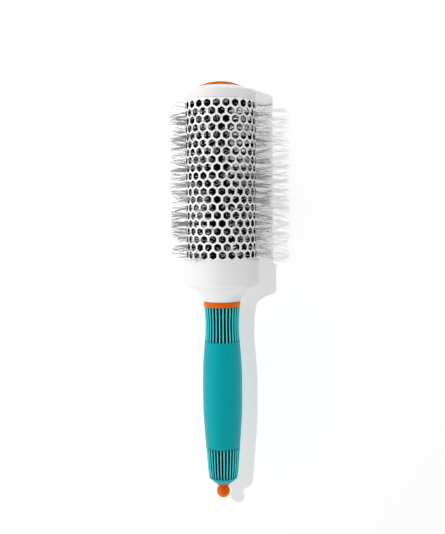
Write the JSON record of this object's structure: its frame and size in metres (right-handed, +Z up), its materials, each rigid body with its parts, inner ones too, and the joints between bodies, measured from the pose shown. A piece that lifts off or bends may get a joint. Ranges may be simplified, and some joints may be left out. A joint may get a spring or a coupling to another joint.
{
  "type": "round barrel brush",
  "caption": "Round blow-drying brush: a vented barrel ringed with bristles on a soft grooved handle that stores a slide-out, ball-ended pick.",
  "frame": {"origin": "under the middle of the whole brush, on the plane its bristle tips rest on", "axes": "+Y along the barrel's axis from the handle to the head, +Z up from the rest plane, +X across the brush"},
  "size_m": [0.068, 0.2772, 0.0675],
  "materials": {
    "white_plastic": "satin",
    "orange_plastic": "gloss",
    "coated_barrel": "matte",
    "bristle_nylon": "satin",
    "black_plastic": "matte",
    "teal_rubber": "satin",
    "black_rubber": "matte",
    "wire_steel": "satin",
    "ferrule_brass": "satin",
    "shaft_aluminium": "satin"
  },
  "bodies": {
    "brush": {"tip_disc": "orange_plastic", "tip_cap": "white_plastic", "wire_clip": "wire_steel", "barrel_tube": "coated_barrel", "core_wire": "wire_steel", "bristle_pack_1": "bristle_nylon", "bristle_pack_2": "bristle_nylon", "bristle_pack_3": "bristle_nylon", "bristle_pack_4": "bristle_nylon", "barrel_hub": "black_plastic", "collar": "white_plastic", "neck": "white_plastic", "accent_ring": "orange_plastic", "handle_core": "black_plastic", "wire_ferrule": "ferrule_brass", "grip": "teal_rubber", "guide_bush": "black_plastic", "friction_ring": "black_rubber"},
    "pick": {"pick_shaft": "shaft_aluminium", "pick_knob": "orange_plastic", "pick_stop": "black_plastic"}
  },
  "joints": [
    {"name": "pick_slide", "type": "slide", "parent": "brush", "child": "pick", "axis": [0, -1, 0], "range_m": [0, 0.06]}
  ]
}
